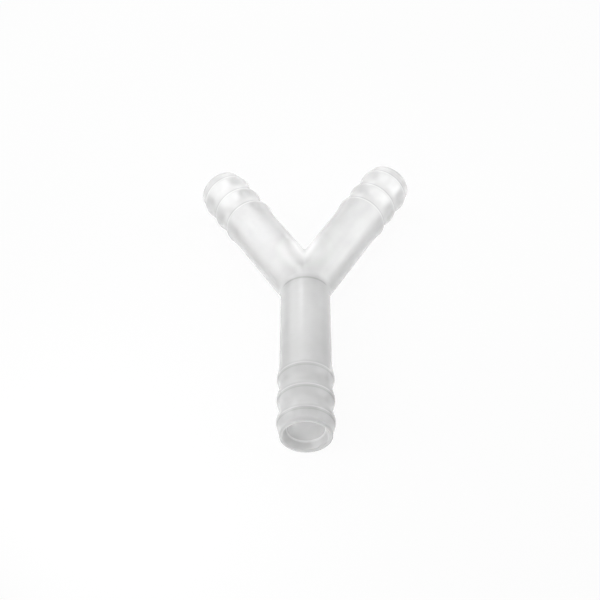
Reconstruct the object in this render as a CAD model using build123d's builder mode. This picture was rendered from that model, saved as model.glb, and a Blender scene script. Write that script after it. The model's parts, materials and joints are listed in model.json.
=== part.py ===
from build123d import *
import os
from math import cos, radians, sin, tan

# Y tube connector: one hollow moulding with three equal barbed legs whose bores meet in the middle.
# Millimetres, +Z up. The connector lies flat on its barbs: the axes of the three legs share one level
# plane, the stem points to -Y and the two arms lean to either side of +Y. The origin is on the resting
# plane, under the middle of the bounding box.

os.makedirs("parts", exist_ok=True)

# Legs
tube_radius = 5.0
wall = 1.6
leg_length = 37.5
arm_angle = 30.0

# Barbs
barb_count = 3
barb_pitch = 5.1
barb_height = 0.37
barb_land = 0.5
valley_depth = 0.13
nose_slope = 2.4

# Mouth
nose_length = 0.7
nose_draw_in = 0.16
nose_chamfer = 0.3
rim_width = 0.6
flare_depth = 1.6
flare_bulge = 0.08

# Bores: the stem's is the wider one, and it ends in a flat ledge just short of where the bores meet
arm_bore_step = 0.17
ledge_gap = 0.08

# Blends outside, where the legs meet
crotch_blend = 0.4
shoulder_blend = 3.0

# Radii that follow
stem_bore_radius = tube_radius - wall
arm_bore_radius = stem_bore_radius - arm_bore_step
crest_radius = tube_radius + barb_height
valley_radius = tube_radius - valley_depth
nose_radius = tube_radius - nose_draw_in
mouth_radius = nose_radius - rim_width

# Distances from the junction, along a leg, that follow
half_land = barb_land / 2
half_pitch = barb_pitch / 2
nose_start = leg_length - nose_length
last_crest = nose_start - nose_slope
crests = [last_crest - step * barb_pitch for step in reversed(range(barb_count))]
first_rise = crests[0] - half_pitch
ledge_place = arm_bore_radius * tan(radians(arm_angle / 2)) + ledge_gap
core_end = leg_length + tube_radius

# The arms reach furthest to +Y at the outer edge of the mouth, and the junction is set back so that
# the bounding box is centred over the origin
edge_radius = nose_radius - nose_chamfer
arm_reach = leg_length * cos(radians(arm_angle)) + edge_radius * sin(radians(arm_angle))
junction = Vector(0, (leg_length - arm_reach) / 2, crest_radius)
stem_turn = -90.0
arm_turns = [90.0 - arm_angle, 90.0 + arm_angle]


def leg_plane(turn):
    """Upright plane through a leg: its X runs from the junction out to the mouth, its Y points up."""
    outward = Vector(1, 0, 0).rotate(Axis.Z, turn)
    return Plane(origin=junction, x_dir=outward, z_dir=outward.cross(Vector(0, 0, 1)))


def leg_axis(turn):
    """Line through the middle of a leg, pointing out of its mouth."""
    return Axis(junction, leg_plane(turn).x_dir)


def outside_section(turn):
    """Half section of a leg: a plain tube, ridges that rise and fall evenly to narrow lands, and a nose."""
    outline = [(0, 0), (0, tube_radius), (first_rise, tube_radius)]
    for crest in crests:
        outline.append((crest - half_land, crest_radius))
        outline.append((crest + half_land, crest_radius))
        if crest < last_crest:
            outline.append((crest + half_pitch, valley_radius))
    outline += [(nose_start, nose_radius), (leg_length, nose_radius), (leg_length, 0)]
    with BuildSketch(leg_plane(turn)) as section:
        with BuildLine():
            Polyline(*outline, close=True)
        make_face()
        chamfer(section.vertices().sort_by(Axis.X)[-2:].sort_by(Axis.Y)[-1], length=nose_chamfer)
    return section.sketch


def hollow_section(turn, bore_start, bore_radius):
    """Half section of the space in a leg: a straight bore that opens to the mouth over a rounded lip."""
    bore_edge = (leg_length - flare_depth, bore_radius)
    mouth_edge = (leg_length, mouth_radius)
    with BuildSketch(leg_plane(turn)) as section:
        with BuildLine():
            Polyline((core_end, mouth_radius), (core_end, 0), (bore_start, 0), (bore_start, bore_radius), bore_edge)
            SagittaArc(bore_edge, mouth_edge, flare_bulge)
            Line(mouth_edge, (core_end, mouth_radius))
        make_face()
    return section.sketch


with BuildPart() as y_connector:
    for turn in [stem_turn, *arm_turns]:
        revolve(outside_section(turn), axis=leg_axis(turn))

    # Two legs meet along an ellipse: the one in the crotch of the arms lies furthest from the stem
    fillet(y_connector.edges().filter_by(GeomType.ELLIPSE).sort_by(Axis.Y)[-1], radius=crotch_blend)
    fillet(y_connector.edges().filter_by(GeomType.ELLIPSE).sort_by(Axis.Y)[:2], radius=shoulder_blend)

    # The arms' bores run on into the stem at their own size as far as the ledge, where the stem's bore begins
    for turn in arm_turns:
        revolve(hollow_section(turn, 0, arm_bore_radius), axis=leg_axis(turn), mode=Mode.SUBTRACT)
    with BuildSketch(leg_plane(stem_turn)) as link:
        with Locations((ledge_place, 0)):
            Rectangle(ledge_place, arm_bore_radius, align=(Align.MAX, Align.MIN))
    revolve(link.sketch, axis=leg_axis(stem_turn), mode=Mode.SUBTRACT)
    stem_hollow = hollow_section(stem_turn, ledge_place, stem_bore_radius)
    revolve(stem_hollow, axis=leg_axis(stem_turn), mode=Mode.SUBTRACT)

y_connector.part.label = "y_connector"
export_step(y_connector.part, "parts/y_connector.step")

box = y_connector.part.bounding_box()
print("size", round(box.size.X, 2), round(box.size.Y, 2), round(box.size.Z, 2))
print("lowest corner", round(box.min.X, 2), round(box.min.Y, 2), round(box.min.Z, 3))
print("volume", round(y_connector.part.volume, 1), "valid", y_connector.part.is_valid)
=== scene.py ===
# %% [markdown]
# # A moulded Y connector for hoses
#
# The object is one small piece of natural plastic: three hollow legs with low barbs, joined in a Y.
# Everything that the eye enjoys here comes from light that passes through it, so this lesson spends
# its effort on two things: a skin with true thickness, and a finish between glass and milk.
#
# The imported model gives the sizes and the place. Nothing else is read.

# %% Load the frame
import json
from math import acos, cos, hypot, pi, radians, sin, tan

import bmesh
import bpy
from mathutils import Matrix, Vector


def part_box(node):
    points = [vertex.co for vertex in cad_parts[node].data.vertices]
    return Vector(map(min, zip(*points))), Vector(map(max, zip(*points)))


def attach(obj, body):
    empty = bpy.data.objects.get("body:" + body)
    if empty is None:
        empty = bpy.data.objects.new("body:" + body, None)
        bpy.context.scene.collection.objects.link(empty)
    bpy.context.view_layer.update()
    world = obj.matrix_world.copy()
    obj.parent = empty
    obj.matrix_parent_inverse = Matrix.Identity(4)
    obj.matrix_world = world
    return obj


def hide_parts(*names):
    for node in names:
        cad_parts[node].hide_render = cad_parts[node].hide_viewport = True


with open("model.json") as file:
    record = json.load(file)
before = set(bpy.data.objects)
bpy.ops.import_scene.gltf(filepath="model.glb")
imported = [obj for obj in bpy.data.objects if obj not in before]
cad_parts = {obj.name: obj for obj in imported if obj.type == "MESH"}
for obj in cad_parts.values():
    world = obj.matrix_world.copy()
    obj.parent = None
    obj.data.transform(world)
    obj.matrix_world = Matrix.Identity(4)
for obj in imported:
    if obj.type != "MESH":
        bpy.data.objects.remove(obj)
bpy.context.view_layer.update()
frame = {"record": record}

low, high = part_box("y_connector")
print("frame box in mm", [round((b - a) * 1000, 2) for a, b in zip(low, high)])

# %% [markdown]
# ## Sizes from the frame
#
# The frame names every bore and every barbed end as a mount, each with its place, its direction and
# its radius. The legs could be measured on the mesh, but the mounts say the same things exactly, so
# the three leg directions, the bore and the barb crests are taken from there. The few sizes that no
# mount tells are written here in millimetres.

# %% Sizes
mm = 0.001
mounts = {mount["name"]: mount for mount in frame["record"]["mounts"]}
legs = ["stem", "right_arm", "left_arm"]
up = Vector((0, 0, 1))

tube_radius = 5.0 * mm
leg_length = 37.5 * mm
land_width = 0.5 * mm
valley_depth = 0.13 * mm
nose_slope = 2.4 * mm
nose_draw_in = 0.16 * mm
rim_width = 0.6 * mm
flare_depth = 1.6 * mm
flare_bulge = 0.08 * mm
ledge_gap = 0.08 * mm
crotch_blend = 0.4 * mm
shoulder_blend = 3.0 * mm

bore_radii = {leg: mounts[leg + "_bore"]["dims"]["r_mm"] * mm for leg in legs}
crest_radius = mounts["stem_barbs"]["dims"]["r_mm"] * mm
pitch = (mounts["stem_barbs"]["dims"]["length_mm"] * mm - land_width) / 2
directions = {leg: Vector(mounts[leg + "_bore"]["axis"]).normalized() for leg in legs}

junction = Vector((0, low.y + leg_length, (low.z + high.z) / 2))
middle_crest = (Vector(mounts["stem_barbs"]["pos_m"]) - junction).length
crests = [middle_crest - pitch, middle_crest, middle_crest + pitch]
print("crests in mm from the junction", [round(crest / mm, 2) for crest in crests])

# %% [markdown]
# ## The camera
#
# The camera stands in front of the stem and looks down at about 45 degrees, so the stem comes towards
# it and the arms lean away. Three turns describe it: how high it looks from, how far it stands to one
# side, and how far it is tipped over. Its place follows from its distance and from where the junction
# shows in the picture, which is 600 pixels square.

# %% Camera
picture_size = 600
junction_column = 305.36
junction_row = 288.20
camera_height = radians(45.08)
camera_side = radians(-2.88)
camera_tip = radians(4.03)
focal_pixels = 1018.7
camera_distance = 206.5 * mm

sideways = Vector((cos(camera_side), -sin(camera_side), 0))
ahead_level = Vector((sin(camera_side), cos(camera_side), 0))
ahead = ahead_level * cos(camera_height) - up * sin(camera_height)
above = ahead_level * sin(camera_height) + up * cos(camera_height)
right_edge = sideways * cos(camera_tip) - above * sin(camera_tip)
top_edge = sideways * sin(camera_tip) + above * cos(camera_tip)

across = (junction_column - picture_size / 2) / focal_pixels * camera_distance
upward = (picture_size / 2 - junction_row) / focal_pixels * camera_distance
camera_place = junction - right_edge * across - top_edge * upward - ahead * camera_distance

camera = bpy.data.objects.new("camera", bpy.data.cameras.new("camera"))
bpy.context.scene.collection.objects.link(camera)
camera.data.sensor_width = 36
camera.data.lens = focal_pixels * camera.data.sensor_width / picture_size
camera.data.clip_start = 10 * mm
camera_turn = Matrix((right_edge, top_edge, -ahead)).transposed()
camera.matrix_world = Matrix.Translation(camera_place) @ camera_turn.to_4x4()
bpy.context.scene.camera = camera
camera_place_mm = [round(value / mm, 1) for value in camera_place]
print("camera stands at", camera_place_mm, "mm, lens", round(camera.data.lens, 1))

# %% [markdown]
# ## The line of a leg
#
# Cut along its middle, every leg shows the same line: a plain tube, three low ridges, the nose, the
# rim of the mouth and the way back in through the bore. The line is written as corners, each with the
# rounding that the mould gives it, and one helper turns the corners into soft arcs. A bevel modifier
# could round them too, but then every corner would get the same amount.
#
# The ridges swell out of the tube so softly that no edge shows where the first one starts, while the
# way into the bore keeps a crisp edge. Just inside the mouth the bore opens in a flare with a slight
# belly, which lets the plug of the mould slide in and out.

# %% Rounded line
def softened(corners, steps=5):
    """Points along a line of (along, radius, rounding) corners, with an arc at each rounded corner."""
    points = []
    for index, (along, radius, rounding) in enumerate(corners):
        corner = Vector((along, radius))
        if rounding == 0 or index in (0, len(corners) - 1):
            points.append(corner)
            continue
        back = (Vector(corners[index - 1][:2]) - corner).normalized()
        onward = (Vector(corners[index + 1][:2]) - corner).normalized()
        half = acos(max(-1, min(1, back.dot(onward)))) / 2
        centre = corner + (back + onward).normalized() * rounding / sin(half)
        first = corner + back * rounding / tan(half) - centre
        last = corner + onward * rounding / tan(half) - centre
        for step in range(steps + 1):
            part = step / steps
            points.append(centre + (first * (1 - part) + last * part).normalized() * rounding)
    return points


half_land = land_width / 2
half_pitch = pitch / 2
last_crest = crests[-1]
nose_start = last_crest + nose_slope
nose_radius = tube_radius - nose_draw_in
mouth_radius = nose_radius - rim_width
flare_start = leg_length - flare_depth
plain_before_rise = 2.5 * mm
straight_before_flare = 2.0 * mm
outer_start = crests[0] - half_pitch - plain_before_rise
inner_start = flare_start - straight_before_flare

rise_rounding = 20.0 * mm
valley_rounding = 4.0 * mm
crest_rounding = 0.9 * mm
nose_rounding = 2.2 * mm
rim_rounding = 0.34 * mm
lip_rounding = 0.20 * mm
flare_rounding = 4.5 * mm
bore_edge_rounding = 0.06 * mm
ledge_rounding = 0.03 * mm

outer_corners = [(outer_start, tube_radius, 0), (crests[0] - half_pitch, tube_radius, rise_rounding)]
for crest in crests:
    outer_corners.append((crest - half_land, crest_radius, crest_rounding))
    outer_corners.append((crest + half_land, crest_radius, crest_rounding))
    if crest < last_crest:
        outer_corners.append((crest + half_pitch, tube_radius - valley_depth, valley_rounding))
outer_corners.append((nose_start, nose_radius, nose_rounding))
outer_corners.append((leg_length, nose_radius, rim_rounding))
outer_corners.append((leg_length, mouth_radius, lip_rounding))


def leg_line(leg):
    """The line from the first barb over the mouth and into the bore of this leg."""
    bore_edge = Vector((flare_start, bore_radii[leg]))
    mouth_edge = Vector((leg_length, mouth_radius))
    slope = (mouth_edge - bore_edge).normalized()
    belly = (bore_edge + mouth_edge) / 2 + Vector((-slope.y, slope.x)) * 2 * flare_bulge
    flare = [(*belly, flare_rounding), (*bore_edge, bore_edge_rounding), (inner_start, bore_edge.y, 0)]
    return softened(outer_corners + flare)


print("leg line has", len(leg_line("stem")), "points")

# %% [markdown]
# ## The skin of a leg
#
# Each leg is wrapped in columns of points that run from the junction out to the mouth and back in
# through the bore. Two neighbouring legs meet in an upright plane halfway between them, and because
# their columns mirror each other there, the points fall together and the skin closes by itself. A
# boolean would join three tubes as well, but it leaves thin triangles that show as soon as light is
# bent by them.
#
# Where two tubes meet, a small ball is rolled along the corner, and the skin follows the ball. Its
# radius is the blend, large outside in the crotches and tiny inside where the bores meet.
#
# The stem's bore is a little wider than the bores of the arms and ends in a flat ledge just short of
# the junction, as the end of a thicker core pin leaves it. Beyond the ledge the skin runs on at the
# arms' radius, so all three bores meet as equals.

# %% Columns of a leg
columns = 128
blend_steps = 6
straight_steps = 12
bore_blend = 0.1 * mm
ledge_steps = 2
ledge_margin = 0.3 * mm
stem_to_arm = directions["stem"].angle(directions["right_arm"])
ledge_place = bore_radii["right_arm"] / tan(stem_to_arm / 2) + ledge_gap


def meeting(leg, other, outward, radius, blend):
    """The blend towards a neighbour: its points, and how far along the leg it ends."""
    axis, mirror = directions[leg], (directions[leg] - directions[other]).normalized()
    half = axis.angle(directions[other]) / 2
    height = abs(outward.dot(axis.cross(up)))
    reach = (radius + blend) * height / tan(half)
    centre = junction + axis * reach + outward * (radius + blend)
    reflected = outward - mirror * 2 * outward.dot(mirror)
    middle = (outward + reflected).normalized()
    points = []
    for step in range(blend_steps + 1):
        part = step / blend_steps
        points.append(centre - (middle * (1 - part) + outward * part).normalized() * blend)
    return points, reach


def straight_run(leg, outward, radius, start, end):
    """Points on a plain tube between two distances from the junction, ends left out."""
    run = []
    for step in range(1, straight_steps):
        along = start + (end - start) * step / straight_steps
        run.append(junction + directions[leg] * along + outward * radius)
    return run


def ledge_run(leg, outward):
    """Points down the stem's bore and over the ledge, to the narrower bore that the arms share."""
    wide, narrow = bore_radii[leg], bore_radii["right_arm"]
    before, beyond = ledge_place + ledge_margin, ledge_place - ledge_gap / 4
    step = [(ledge_place, wide, ledge_rounding), (ledge_place, narrow, ledge_rounding)]
    line = softened([(before, wide, 0), *step, (beyond, narrow, 0)], ledge_steps)
    points = straight_run(leg, outward, wide, inner_start, before)
    return points + [junction + directions[leg] * along + outward * radius for along, radius in line]


def column_points(leg, turn):
    """Points from the junction outside, over the barbs and the mouth, to the junction inside."""
    axis = directions[leg]
    side = axis.cross(up)
    outward = up * cos(turn) + side * sin(turn)
    others = [other for other in legs if other != leg]
    other = max(others, key=lambda name: directions[name].dot(side) * sin(turn))
    blend = shoulder_blend if "stem" in (leg, other) else crotch_blend
    points, reach = meeting(leg, other, outward, tube_radius, blend)
    points += straight_run(leg, outward, tube_radius, reach, outer_start)
    points += [junction + axis * along + outward * radius for along, radius in leg_line(leg)]
    inside, reach = meeting(leg, other, outward, bore_radii["right_arm"], bore_blend)
    if leg == "stem":
        points += ledge_run(leg, outward)
    else:
        points += straight_run(leg, outward, bore_radii[leg], inner_start, reach)
    points += reversed(inside)
    return points


# %% [markdown]
# ## Closing the skin
#
# The columns of one leg are stitched side by side, then the three legs are merged where their points
# fall together. The count of open edges tells at once whether the skin is closed, which matters here
# more than elsewhere, because light that enters a hole never finds its way out of the plastic.

# %% Skin of the connector
skin = bmesh.new()
for leg in legs:
    wrapped = []
    for column in range(columns):
        turn = 2 * pi * column / columns
        wrapped.append([skin.verts.new(point) for point in column_points(leg, turn)])
    for column in range(columns):
        here, beside = wrapped[column], wrapped[(column + 1) % columns]
        for row in range(len(here) - 1):
            skin.faces.new((here[row], here[row + 1], beside[row + 1], beside[row]))

merge_distance = 0.002 * mm
sliver_width = 0.001 * mm
bmesh.ops.remove_doubles(skin, verts=skin.verts, dist=merge_distance)
bmesh.ops.dissolve_degenerate(skin, edges=skin.edges, dist=sliver_width)
bmesh.ops.recalc_face_normals(skin, faces=skin.faces)
for face in skin.faces:
    face.smooth = True
open_edges = sum(1 for edge in skin.edges if not edge.is_manifold)
skin_volume = skin.calc_volume() / mm ** 3
print("skin has", len(skin.faces), "faces and", open_edges, "open edges")
print("its volume is", round(skin_volume, 1), "mm3")

body_mesh = bpy.data.meshes.new("connector_body")
skin.to_mesh(body_mesh)
skin.free()
body = bpy.data.objects.new("connector_body", body_mesh)
bpy.context.scene.collection.objects.link(body)
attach(body, "root")
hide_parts("y_connector")

# %% [markdown]
# ## A kit for finishes
#
# A finish is a tree of nodes. Writing it as sums reads better than wiring it by hand, so a small
# class wraps a socket and turns plus, minus and times into Math nodes. Every other node comes from
# one method, which takes the node's type, its settings and what its sockets hold.

# %% Finish kit
class Value:
    """A number that changes over the surface and can stand in a sum."""

    def __init__(self, finish, socket):
        self.finish = finish
        self.socket = socket

    def __add__(self, other):
        return self.finish.maths("ADD", self, other)

    def __sub__(self, other):
        return self.finish.maths("SUBTRACT", self, other)

    def __rsub__(self, other):
        return self.finish.maths("SUBTRACT", other, self)

    def __mul__(self, other):
        return self.finish.maths("MULTIPLY", self, other)

    __radd__ = __add__


class Finish:
    """The node tree of a material or of the world, built up by calls."""

    def __init__(self, owner):
        owner.use_nodes = True
        self.tree = owner.node_tree
        self.tree.nodes.clear()

    def node(self, kind, settings, sockets, output=0):
        """One node: its settings, then what its sockets hold, and back comes one of its outputs."""
        made = self.tree.nodes.new(kind)
        for name, setting in settings.items():
            setattr(made, name, setting)
        for name, held in sockets.items():
            socket = made.inputs[name]
            if isinstance(held, Value):
                self.tree.links.new(held.socket, socket)
            else:
                socket.default_value = held
        if made.outputs:
            return Value(self, made.outputs[output])

    def maths(self, operation, *held):
        """A sum of one or two numbers."""
        return self.node("ShaderNodeMath", {"operation": operation}, dict(enumerate(held)))

    def vectors(self, operation, *held, output=0):
        """A sum of places or directions, which gives another one or, as its Value, a number."""
        return self.node("ShaderNodeVectorMath", {"operation": operation}, dict(enumerate(held)), output)


def grey(level):
    """The colour between black at 0 and white at 1."""
    return (level, level, level, 1)


# %% [markdown]
# ## Natural plastic
#
# Natural plastic is neither glass nor paint. Part of the light goes straight through and part is
# scattered inside, so the finish mixes a clear shader with a milky one. A volume with real scattering
# would be truer, but it is slow to clear of noise, and a bake of the surface can't hold it.
#
# Everything that varies on the plastic is placed by distance, from the junction, along a leg or from
# the line of a leg. The same sums then serve all three legs, and nothing has to be painted by hand.

# %% Distances on the plastic
plastic = bpy.data.materials.new("natural_plastic_moulded")
finish = Finish(plastic)
place = finish.node("ShaderNodeTexCoord", {}, {}, output="Object")
apart = finish.vectors("SUBTRACT", place, junction)
away = finish.vectors("LENGTH", apart, output="Value")
off_line, along = {}, {}
for leg in legs:
    along[leg] = finish.vectors("DOT_PRODUCT", apart, directions[leg], output="Value")
    turned = finish.vectors("CROSS_PRODUCT", apart, directions[leg])
    off_line[leg] = finish.vectors("LENGTH", turned, output="Value")
off_arms = finish.maths("MINIMUM", off_line["right_arm"], off_line["left_arm"])
off_any = finish.maths("MINIMUM", off_line["stem"], off_arms)
along_arms = finish.maths("MAXIMUM", along["right_arm"], along["left_arm"])
along_any = finish.maths("MAXIMUM", along["stem"], along_arms)
aside = finish.node("ShaderNodeSeparateXYZ", {}, {"Vector": apart}, output="X")


def fade(value, start, end):
    """Nothing before the start and one after the end, with a soft step between."""
    soft = {"interpolation_type": "SMOOTHSTEP"}
    return finish.node("ShaderNodeMapRange", soft, {"Value": value, "From Min": start, "From Max": end})


def band(value, middle, half_width):
    """One along a thin line, and nothing beyond half its width on both sides."""
    return fade(finish.maths("ABSOLUTE", value - middle), half_width, 0.0)


# %% [markdown]
# ## Haze
#
# A moulding is not equally milky all over. The web where the three streams of plastic met is hazier,
# and so is the inside of each mouth, which rubs on the plug of the mould. The two sides of the wall
# are told apart by how far they lie from the line of the leg.

# %% Haze
wall_inner_half, wall_outer_half = 4.3 * mm, 4.6 * mm
on_outside = fade(off_any, wall_inner_half, wall_outer_half)
on_inside = 1 - on_outside
mouth_core = 4.4 * mm
off_outer_wall = fade(off_any, tube_radius, mouth_core)

web_offset, web_reach, web_core = 6.5 * mm, 8.0 * mm, 4.0 * mm
web_place = junction - directions["stem"] * web_offset
to_web = finish.vectors("DISTANCE", place, web_place, output="Value")
web_haze = fade(to_web, web_reach, web_core)

haze_start, haze_full = 31.0 * mm, 35.0 * mm
bore_haze = fade(away, haze_start, haze_full) * on_inside
flare_before, flare_beyond = flare_start - 0.1 * mm, flare_start + 0.2 * mm
mouth_haze = fade(along_any, flare_before, flare_beyond) * off_outer_wall

# %% [markdown]
# ## Painted lines of light and shade
#
# Sharp edges show as thin lines, and these are painted light and shade: a faint painted highlight on
# the crest of each barb and a painted grey shade at its foot, a painted grey shade arc over the ledge
# in the stem, and a painted highlight where the flare meets the bore. The ledge lies inside, but
# plastic bends the light that comes from it, so its painted arc is laid on the skin almost a
# millimetre nearer to the mouth. Traced light alone hardly shows edges as small as these.

# %% Painted lines of light and shade
# Painted shade: a grey arc laid where the ledge inside shows dark through the wall.
ledge_shift, ledge_half_width, ledge_shade_strength = 0.95 * mm, 0.36 * mm, 0.38
arc_end, arc_full = 4.6 * mm, 3.9 * mm
ledge_ends = fade(finish.maths("ABSOLUTE", aside), arc_end, arc_full)
ledge_painted_shade = band(along["stem"], ledge_place + ledge_shift, ledge_half_width) * ledge_ends

# Painted shade: a grey line at the foot of each barb, where its slope shows darker.
foot_offset, foot_drop, foot_half_width, foot_shade_strength = 0.8 * mm, 0.1 * mm, 0.18 * mm, 0.36
# Painted highlight: a faint light line just past the crest of each barb.
crest_offset, crest_half_width, crest_highlight_strength = 0.3 * mm, 0.16 * mm, 0.15
foot_painted_shade, crest_painted_highlights = 0.0, 0.0
for crest in crests:
    foot_reach = hypot(crest + foot_offset, crest_radius - foot_drop)
    crest_reach = hypot(crest + crest_offset, crest_radius)
    foot_painted_shade = band(away, foot_reach, foot_half_width) + foot_painted_shade
    crest_painted_highlights = band(away, crest_reach, crest_half_width) + crest_painted_highlights

# Painted highlight: a light line inside, where the flare meets the bore.
flare_half_width, flare_highlight_strength = 0.3 * mm, 0.60
flare_painted_highlight = band(along_any, flare_start, flare_half_width) * on_inside
# The painted shade lines and the painted highlight lines, gathered.
painted_shade_lines = ledge_painted_shade * ledge_shade_strength + foot_painted_shade * on_outside * foot_shade_strength
painted_highlight_lines = flare_painted_highlight * flare_highlight_strength + crest_painted_highlights * on_outside * crest_highlight_strength
print("ledge lies", round(ledge_place / mm, 2), "mm from the junction")

# %% [markdown]
# ## Clear and milky plastic
#
# The clear part is a glass with a faint grain on its surface, the milky part scatters light under the
# skin. Where the wall is seen edge on, the eye looks through more plastic, so the mix turns milkier
# there. Both parts of the mix carry painted light and shade: their colour is painted greyer along the
# stem and paler towards the arms, in place of light that falls more on the arms than on the stem.

# %% Clear and milky plastic
cloud = finish.node("ShaderNodeTexNoise", {}, {
    "Vector": place, "Scale": 160.0, "Detail": 3.0, "Roughness": 0.5})
grain = finish.node("ShaderNodeTexNoise", {}, {
    "Vector": place, "Scale": 2600.0, "Detail": 2.0, "Roughness": 0.6})
relief = finish.node("ShaderNodeBump", {}, {"Strength": 0.08, "Distance": 0.02 * mm, "Height": grain})
even_roughness, cloud_roughness = 0.03, 0.03
roughness = even_roughness + cloud * cloud_roughness
ior = 1.49
# Painted shade: the colours below fade from greyer at the stem's mouth to paler on the arms.
painted_shade_full_at, painted_light_full_at = 28.0 * mm, -10.0 * mm
painted_light_toward_arms = fade(along["stem"], painted_shade_full_at, painted_light_full_at)


def between(part, start, end):
    """The grey that lies this part of the way from one level to the other."""
    colours = {0: part, 6: grey(start), 7: grey(end)}  # sockets 6 and 7 take the two colours
    return finish.node("ShaderNodeMix", {"data_type": "RGBA"}, colours, output=2)


tint_and_painted_light = between(painted_light_toward_arms, 0.89, 0.98)
milk_white_and_painted_light = between(painted_light_toward_arms, 0.70, 0.90)
clear = finish.node("ShaderNodeBsdfPrincipled", {}, {
    "Base Color": tint_and_painted_light,
    "Roughness": roughness,
    "IOR": ior,
    "Transmission Weight": 1.0,
    "Normal": relief,
})
milky = finish.node("ShaderNodeBsdfPrincipled", {}, {
    "Base Color": milk_white_and_painted_light,
    "Roughness": roughness,
    "IOR": ior,
    "Subsurface Weight": 1.0,
    "Subsurface Radius": (1, 1, 1),
    "Subsurface Scale": 1.5 * mm,
    "Normal": relief,
})
# The dark grey carries the painted shade lines, the near white the painted highlight lines.
painted_shade_diffuse = finish.node("ShaderNodeBsdfDiffuse", {}, {"Color": grey(0.12)})
painted_highlight_diffuse = finish.node("ShaderNodeBsdfDiffuse", {}, {"Color": grey(0.95)})

edge = finish.node("ShaderNodeLayerWeight", {}, {"Blend": 0.30, "Normal": relief}, output="Facing")
bore_milk, mouth_milk, web_milk = 0.15, 0.28, 0.60
even_milk, cloud_milk, edge_milk = 0.30, 0.10, 0.55
haze = bore_haze * bore_milk + mouth_haze * mouth_milk + web_haze * web_milk
milk = even_milk + cloud * cloud_milk + haze + edge * edge * edge_milk
cloudy = finish.node("ShaderNodeMixShader", {}, {0: milk, 1: clear, 2: milky})
# Painted light and shade: the lines mix these two greys over the plastic.
with_painted_shade = finish.node("ShaderNodeMixShader", {}, {0: painted_shade_lines, 1: cloudy, 2: painted_shade_diffuse})
with_painted_highlights = finish.node("ShaderNodeMixShader", {}, {0: painted_highlight_lines, 1: with_painted_shade, 2: painted_highlight_diffuse})
finish.node("ShaderNodeOutputMaterial", {}, {"Surface": with_painted_highlights})
body.data.materials.append(plastic)

# %% [markdown]
# ## The paper floor
#
# The connector lies on white paper in a white room, and the picture behind it is nearly pure white.
# More light would burn the plastic out, so the white comes from the paper and the room themselves:
# for the camera, for reflections and for what is seen through the plastic they glow evenly, and for
# all other light they stay an ordinary white surface, which keeps the soft shadow.

# %% Floor
floor_reach = 600 * mm
floor_gap = 0.02 * mm
floor_mesh = bpy.data.meshes.new("floor")
sheet = bmesh.new()
bmesh.ops.create_grid(sheet, x_segments=1, y_segments=1, size=floor_reach)
sheet.to_mesh(floor_mesh)
sheet.free()
floor = bpy.data.objects.new("floor", floor_mesh)
bpy.context.scene.collection.objects.link(floor)
floor.location.z = low.z - floor_gap


def seen_white(white):
    """One for the rays that look at the background: straight, reflected or through the plastic."""
    rays = ["Is Camera Ray", "Is Glossy Ray", "Is Transmission Ray"]
    seen, shone, through = [white.node("ShaderNodeLightPath", {}, {}, output=ray) for ray in rays]
    clamped = {"operation": "ADD", "use_clamp": True}
    return white.node("ShaderNodeMath", clamped, {0: seen + shone, 1: through})


paper = bpy.data.materials.new("white_paper")
matt = Finish(paper)
glow_share = 0.93
glowing = seen_white(matt) * glow_share
lit = matt.node("ShaderNodeBsdfDiffuse", {}, {"Color": grey(0.9)})
glow = matt.node("ShaderNodeEmission", {}, {"Color": grey(1), "Strength": 1.0})
sheet_mix = matt.node("ShaderNodeMixShader", {}, {0: glowing, 1: lit, 2: glow})
matt.node("ShaderNodeOutputMaterial", {}, {"Surface": sheet_mix})
floor.data.materials.append(paper)

# %% [markdown]
# ## The room
#
# The room around is an even grey for the light that it sends in, and white wherever it is looked at,
# in the same way as the paper.

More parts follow.
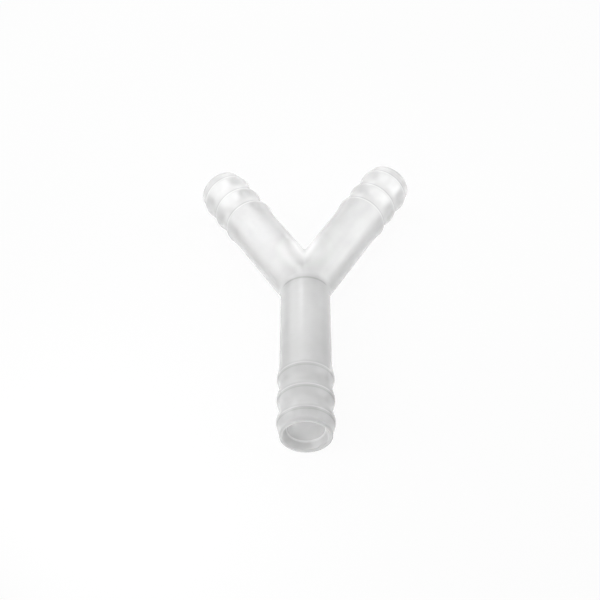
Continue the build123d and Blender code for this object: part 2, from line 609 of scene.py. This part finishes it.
# %% Room
world = bpy.data.worlds.new("studio")
bpy.context.scene.world = world
walls = Finish(world)
room_light = 0.27
room = walls.node("ShaderNodeBackground", {}, {"Color": grey(1), "Strength": room_light})
backdrop = walls.node("ShaderNodeBackground", {}, {"Color": grey(1), "Strength": 1.0})
wall_mix = walls.node("ShaderNodeMixShader", {}, {0: seen_white(walls), 1: room, 2: backdrop})
walls.node("ShaderNodeOutputWorld", {}, {"Surface": wall_mix})

# %% [markdown]
# ## Soft boxes
#
# A smooth tube mirrors every lamp as a long streak, so the boxes are placed by what mirrors them. One
# stands over the right arm. One leans on the left, along the curve of places that the left half of
# the stem mirrors, and a small one close in front of it lights the barbed end. Broad ones at the
# sides and in front fill in, a low one on the right keeps that wall of the stem light, a low one
# behind is caught only by the flanks of the arms, and a small one hangs over the junction.
#
# Brightness is told as the whiteness of the box itself, where 1 is as bright as the paper, and the
# watts follow from its area. A single big sky would be simpler, but it would light both halves of the
# stem alike and make it look flat.

# %% Lamps
def soft_box(name, direction, distance, width, height, brightness, lean=0):
    """A soft box that faces the junction from this direction, in millimetres, its lean in degrees."""
    lamp = bpy.data.objects.new(name, bpy.data.lights.new(name, "AREA"))
    lamp.data.shape = "RECTANGLE"
    lamp.data.size = width * mm
    lamp.data.size_y = height * mm
    lamp.data.energy = pi * (width * mm) * (height * mm) * brightness
    outward = Vector(direction).normalized()
    upright = (-outward).to_track_quat("-Z", "Y")
    stand = Matrix.Translation(junction + outward * distance * mm)
    lamp.matrix_world = stand @ upright.to_matrix().to_4x4() @ Matrix.Rotation(radians(lean), 4, "Z")
    bpy.context.scene.collection.objects.link(lamp)


soft_box("right_arm_box", (0.612, 0.353, 0.707), 150, 80, 80, 0.75)
soft_box("stem_box", (-0.44, 0.62, 0.58), 150, 122, 80, 1.2, lean=-51)
soft_box("barb_box", (-0.62, -0.70, 0.45), 75, 60, 40, 2.6)
soft_box("left_fill", (-1, 0.15, 0.45), 350, 300, 250, 1.2)
soft_box("right_fill", (1, 0.15, 0.45), 350, 300, 250, 1.7)
soft_box("right_low", (1, 0.20, 0.15), 350, 340, 100, 1.1)
soft_box("front_fill", (0, -1, 0.45), 400, 300, 200, 2.0)
soft_box("back_fill", (0, 1, 0.14), 160, 200, 44, 0.9)
soft_box("top_box", (0, 0.50, 0.87), 72, 60, 50, 1.2)

bpy.context.scene.view_settings.view_transform = "Standard"
